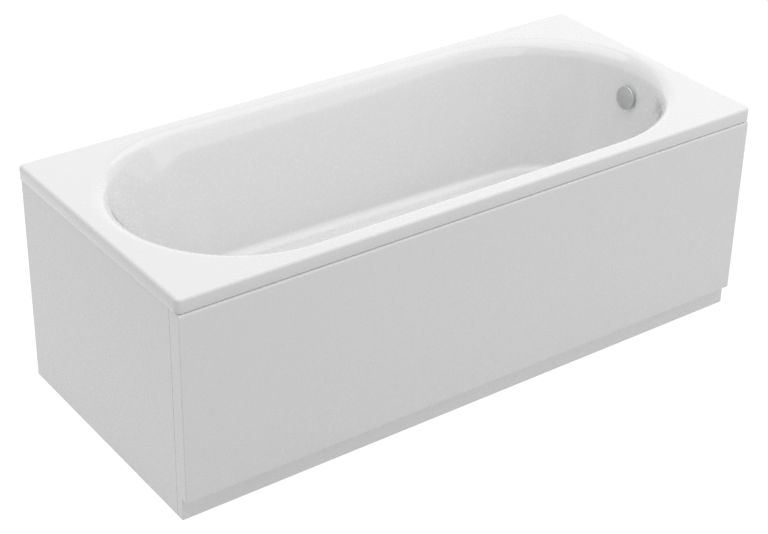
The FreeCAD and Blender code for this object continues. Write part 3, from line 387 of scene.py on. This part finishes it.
class Paint:
    """A material, with short calls that add its nodes and wire them."""

    def __init__(self, name):
        self.made = bpy.data.materials.new(name)
        self.made.use_nodes = True
        self.nodes = self.made.node_tree.nodes
        self.links = self.made.node_tree.links
        self.shader = self.nodes["Principled BSDF"]
        self.place = self.nodes.new("ShaderNodeTexCoord").outputs["Object"]

    def feed(self, node, values):
        for name, value in values.items():
            if isinstance(value, bpy.types.NodeSocket):
                self.links.new(value, node.inputs[name])
            else:
                node.inputs[name].default_value = value

    def add(self, kind, values, output=0):
        node = self.nodes.new("ShaderNode" + kind)
        self.feed(node, values)
        return node.outputs[output]

    def noise(self, scale, detail=3, place=None, distortion=0):
        return self.add("TexNoise", {"Vector": place or self.place, "Scale": scale,
                                     "Detail": detail, "Distortion": distortion})

    def grain(self, scales, detail=3, distortion=0):
        """A noise with its own scale along each axis, drawn out where the scale is low."""
        place = self.add("Mapping", {"Vector": self.place, "Scale": scales})
        return self.noise(1, detail, place, distortion)

    def cells(self, scale, output="Color"):
        return self.add("TexVoronoi", {"Vector": self.place, "Scale": scale}, output)

    def maths(self, operation, *values):
        result = self.add("Math", dict(enumerate(values)))
        result.node.operation = operation
        return result

    def span(self, value, low, high, start=NOISE_LOW, stop=NOISE_HIGH):
        """A value from start to stop, spread over low to high."""
        return self.add("MapRange", {"Value": value, "From Min": start, "From Max": stop,
                                     "To Min": low, "To Max": high})

    def tones(self, value, *stops):
        """Colours along a value: each stop is a place from 0 to 1 and a colour."""
        ramp = self.nodes.new("ShaderNodeValToRGB")
        marks = ramp.color_ramp.elements
        while len(marks) < len(stops):
            marks.new(1)
        for mark, (place, colour) in zip(marks, stops):
            mark.position = place
            mark.color = (*colour, 1)
        self.links.new(value, ramp.inputs["Fac"])
        return ramp.outputs["Color"]

    def drift(self, value, low, high):
        """A colour that a noise moves between two others."""
        return self.tones(value, (NOISE_LOW, low), (NOISE_HIGH, high))

    def mix(self, share, low, high):
        """Mixes two colours. Their sockets are called by number, since several share a name."""
        node = self.nodes.new("ShaderNodeMix")
        node.data_type = "RGBA"
        for socket, value in ((node.inputs[0], share), (node.inputs[6], low),
                              (node.inputs[7], high)):
            self.links.new(value, socket)
        return node.outputs[2]

    def bump(self, height, distance, strength):
        return self.add("Bump", {"Height": height, "Distance": distance, "Strength": strength})


def shade(colour, share):
    """The colour made darker or lighter, up to full white."""
    return [min(part * share, 1) for part in colour]


def gloss_white(name, level, drift, coat_roughness):
    """Cast acrylic: an even white under a clear gloss, with a faint orange peel."""
    paint = Paint(name)
    wide = paint.noise(scale=2.5, detail=2)
    peel = paint.noise(scale=30, detail=1)
    white = (level, level, level)
    paint.feed(paint.shader, {
        "Base Color": paint.drift(wide, shade(white, 1 - drift), white),
        "Roughness": paint.span(paint.noise(scale=140), 0.22, 0.3),
        "Coat Weight": 1.0, "Coat IOR": 1.8,
        "Coat Roughness": coat_roughness,
        "Normal": paint.bump(peel, distance=0.0004, strength=0.04)})
    return paint.made


def fibre_backing():
    """The laminate sprayed on the tub's back: resin over short glass strands."""
    paint = Paint("fibre_backing")
    along = paint.grain((30, 520, 260), detail=2, distortion=1.5)
    across = paint.grain((520, 30, 260), detail=2, distortion=1.5)
    strands = paint.maths("ADD", along, across)
    paint.feed(paint.shader, {
        "Base Color": paint.tones(strands, (0.42, (0.5, 0.48, 0.4)), (0.6, (0.72, 0.7, 0.63))),
        "Roughness": paint.span(strands, 0.38, 0.62),
        "IOR": 1.52,
        "Normal": paint.bump(strands, distance=0.0012, strength=0.8)})
    return paint.made


def chipboard():
    """Pressed wood flakes, a few millimetres each, paler towards the edges of finer chips."""
    paint = Paint("chipboard")
    flakes = paint.add("SeparateColor", {"Color": paint.cells(230)})
    small = paint.cells(620, "Distance")
    wood = paint.tones(flakes, (0.0, (0.2, 0.115, 0.05)), (0.35, (0.4, 0.26, 0.13)),
                       (0.75, (0.54, 0.38, 0.2)), (1.0, (0.66, 0.5, 0.3)))
    paint.feed(paint.shader, {
        "Base Color": paint.mix(paint.span(small, 0, 0.5, start=0.1, stop=0.6), wood,
                                paint.tones(small, (0, (0.3, 0.18, 0.08)), (1, (1, 1, 1)))),
        "Roughness": paint.span(small, 0.7, 0.9),
        "Normal": paint.bump(small, distance=0.0006, strength=0.7)})
    return paint.made


def timber(name, along_x):
    """Planed softwood with its grain along the batten."""
    paint = Paint(name)
    coarse = (1.2, 26, 26) if along_x else (26, 1.2, 26)
    fine = (9, 420, 420) if along_x else (420, 9, 420)
    pores = paint.grain(fine, detail=2)
    bands = paint.maths("MULTIPLY", paint.grain(coarse, distortion=1.2), RINGS)
    wave = paint.maths("FRACT", bands)
    wood = paint.tones(wave, (0.0, (0.6, 0.4, 0.2)), (0.6, (0.68, 0.49, 0.27)),
                       (0.88, (0.42, 0.23, 0.09)), (1.0, (0.6, 0.4, 0.2)))
    dark = paint.tones(pores, (0.3, (0.36, 0.2, 0.08)), (0.5, (0.62, 0.42, 0.22)))
    paint.feed(paint.shader, {
        "Base Color": paint.mix(paint.span(pores, 0.45, 0.0, stop=0.55), wood, dark),
        "Roughness": paint.span(pores, 0.62, 0.5),
        "Normal": paint.bump(pores, distance=0.0004, strength=0.5)})
    return paint.made


def spangled_steel():
    """Hot-dip galvanised sheet: zinc crystals that differ in tone and shine."""
    paint = Paint("galvanised_steel")
    crystals = paint.add("SeparateColor", {"Color": paint.cells(130)})
    paint.feed(paint.shader, {
        "Base Color": paint.tones(crystals, (0, (0.46, 0.48, 0.5)), (1, (0.68, 0.7, 0.71))),
        "Metallic": 1.0,
        "Roughness": paint.span(crystals, 0.28, 0.5, start=0, stop=1),
        "Normal": paint.bump(paint.noise(scale=900), distance=0.0002, strength=0.3)})
    return paint.made


def drawn_metal(name, colour, roughness, scales, spread=0.06):
    """Plated, brushed or drawn metal, with fine lines where its scales are uneven."""
    paint = Paint(name)
    lines = paint.grain(scales)
    wide = paint.noise(scale=30, detail=2)
    paint.feed(paint.shader, {
        "Base Color": paint.drift(wide, shade(colour, 1 - spread), colour),
        "Metallic": 1.0,
        "Roughness": paint.span(lines, roughness * 0.7, roughness * 1.3),
        "Normal": paint.bump(lines, distance=0.0001, strength=0.25)})
    return paint.made


def moulded(name, colour, roughness, scale=700, depth=0.0002, spread=0.06):
    """Moulded plastic or rubber: a fine even grain, and a slight drift of tone."""
    paint = Paint(name)
    fine = paint.noise(scale)
    wide = paint.noise(scale=14)
    paint.feed(paint.shader, {
        "Base Color": paint.drift(wide, shade(colour, 1 - spread), shade(colour, 1 + spread)),
        "Roughness": paint.span(fine, roughness * 0.85, roughness * 1.15),
        "Normal": paint.bump(fine, distance=depth, strength=0.4)})
    return paint.made


acrylic = gloss_white("acrylic", level=0.87, drift=0.006, coat_roughness=0.015)
backing = fibre_backing()
chrome = drawn_metal("chrome", (0.56, 0.565, 0.57), roughness=0.04, scales=(60, 60, 60),
                     spread=0.01)
slots = {
    "acrylic": acrylic,
    "panel": gloss_white("panel", level=0.86, drift=0.006, coat_roughness=0.12),
    "chipboard": chipboard(),
    "timber": timber("timber", along_x=True),
    "galvanised_steel": spangled_steel(),
    "zinc_steel": drawn_metal("zinc_steel", (0.7, 0.69, 0.65), 0.3, (300, 300, 300)),
    "aluminium": drawn_metal("aluminium", (0.76, 0.77, 0.78), 0.36, (900, 900, 12)),
    "chrome": chrome,
    "steel_pin": drawn_metal("steel_pin", (0.62, 0.63, 0.64), 0.24, (700, 700, 40)),
    "rubber": moulded("rubber", (0.022, 0.022, 0.024), 0.75, scale=380, depth=0.0004, spread=0.2),
    "white_plastic": moulded("white_plastic", (0.78, 0.78, 0.76), 0.34),
    "grey_plastic": moulded("grey_plastic", (0.42, 0.43, 0.44), 0.42),
    "black_plastic": moulded("black_plastic", (0.022, 0.022, 0.023), 0.4, scale=900),
}
timber_across = timber("timber_across", along_x=False)


def painted(piece, *made):
    """Gives a piece these materials and no others."""
    piece.data.materials.clear()
    for paint in made:
        piece.data.materials.append(paint)


for part in frame["record"]["subparts"]:
    painted(frame["nodes"][part["node"]], slots[part["material_slot"]])
for side in ("left", "right"):
    painted(frame["nodes"]["rim_batten_" + side], timber_across)

bath_shell = finished(shell(), "bath", ["bath_shell"])
painted(bath_shell, acrylic, backing)
cap = finished(knob(), "overflow_control", ["overflow_knob"])
painted(cap, chrome)


# Floor, light and camera

def seen_plainly(tree):
    """1 for the rays that show the background: from the camera, reflected or refracted."""
    path = tree.nodes.new("ShaderNodeLightPath")
    total = path.outputs["Is Camera Ray"]
    for name in ("Is Glossy Ray", "Is Transmission Ray"):
        either = tree.nodes.new("ShaderNodeMath")
        either.operation = "MAXIMUM"
        tree.links.new(total, either.inputs[0])
        tree.links.new(path.outputs[name], either.inputs[1])
        total = either.outputs[0]
    return total


FLOOR_HALF = 14.0
FLOOR_GREY = 0.45
FLOOR_SHARE = 0.78      # of its look that is plain white, while the rest keeps the shadow
FLOOR_GLOW = 1.25
SKY = 0.53              # which lights the object
BACKGROUND = 1.0        # which the camera and the gloss see instead


def make_floor():
    data = bpy.data.meshes.new("floor")
    data.from_pydata([(x * FLOOR_HALF, y * FLOOR_HALF, 0)
                      for x, y in ((-1, -1), (1, -1), (1, 1), (-1, 1))], [], [(0, 1, 2, 3)])
    floor = mesh_object("floor", data)
    paint = Paint("floor")
    grey = (FLOOR_GREY, FLOOR_GREY, FLOOR_GREY, 1)
    paint.feed(paint.shader, {"Base Color": grey, "Roughness": 0.9, "Specular IOR Level": 0.1})
    glow = paint.add("Emission", {"Strength": FLOOR_GLOW})
    share = paint.maths("MULTIPLY", seen_plainly(paint.made.node_tree), FLOOR_SHARE)
    blend = paint.add("MixShader", {0: share})
    paint.links.new(paint.shader.outputs[0], blend.node.inputs[1])
    paint.links.new(glow, blend.node.inputs[2])
    paint.links.new(blend, paint.nodes["Material Output"].inputs["Surface"])
    floor.data.materials.append(paint.made)


def make_sky():
    world = bpy.data.worlds.new("studio")
    bpy.context.scene.world = world
    world.use_nodes = True
    tree = world.node_tree
    level = tree.nodes.new("ShaderNodeMapRange")
    level.inputs["To Min"].default_value = SKY
    level.inputs["To Max"].default_value = BACKGROUND
    tree.links.new(seen_plainly(tree), level.inputs["Value"])
    sky = tree.nodes["Background"]
    sky.inputs["Color"].default_value = (1, 1, 1, 1)
    tree.links.new(level.outputs["Result"], sky.inputs["Strength"])


make_floor()
make_sky()


def softbox(name, place, target, width, height, watts):
    """A rectangular lamp at a place, aimed at its target."""
    data = bpy.data.lights.new(name, "AREA")
    data.shape = "RECTANGLE"
    data.size = width
    data.size_y = height
    data.energy = watts
    lamp = bpy.data.objects.new(name, data)
    bpy.context.scene.collection.objects.link(lamp)
    aim = Vector(target) - Vector(place)
    turn = aim.to_track_quat("-Z", "Y").to_matrix().to_4x4()
    lamp.matrix_world = Matrix.Translation(place) @ turn


softbox("top_light", (0.9, -0.2, 4.4), (0.9, -0.2, 0), width=8, height=5.6, watts=93)
softbox("front_light", (1.6, -4.4, 2.2), (0.2, 0.4, 0.6), width=6.2, height=3.4, watts=34)
softbox("rear_light", (2.9, 3.9, 2.6), (0, 0, 0.5), width=5, height=3.6, watts=14)

# Camera: the pinhole solved from the edges in the photograph. Its focal length and shifts are in
# pixels, its angles in radians, and its sensor's width in millimetres.
PHOTO_WIDTH = 768
FOCAL = 1868.47
SHIFT_RIGHT, SHIFT_DOWN = 11.91, -28.69
YAW, PITCH, ROLL = -0.6387, 0.517, 0.0235
TARGET = Vector((0, 0, 0.3))
DISTANCE = 4.77135
SENSOR_WIDTH = 36


def make_camera():
    forward = Vector((-math.sin(YAW) * math.cos(PITCH), math.cos(YAW) * math.cos(PITCH),
                      -math.sin(PITCH)))
    right = Vector((math.cos(YAW), math.sin(YAW), 0))
    up = right.cross(forward)
    across = math.cos(ROLL) * right + math.sin(ROLL) * up
    upward = -math.sin(ROLL) * right + math.cos(ROLL) * up
    data = bpy.data.cameras.new("camera")
    data.sensor_width = SENSOR_WIDTH
    data.lens = FOCAL / PHOTO_WIDTH * SENSOR_WIDTH
    data.shift_x = -SHIFT_RIGHT / PHOTO_WIDTH
    data.shift_y = SHIFT_DOWN / PHOTO_WIDTH
    camera = bpy.data.objects.new("camera", data)
    bpy.context.scene.collection.objects.link(camera)
    turn = Matrix((across, upward, -forward)).transposed().to_4x4()
    camera.matrix_world = Matrix.Translation(TARGET - forward * DISTANCE) @ turn
    bpy.context.scene.camera = camera


make_camera()
bpy.context.scene.view_settings.view_transform = "Standard"
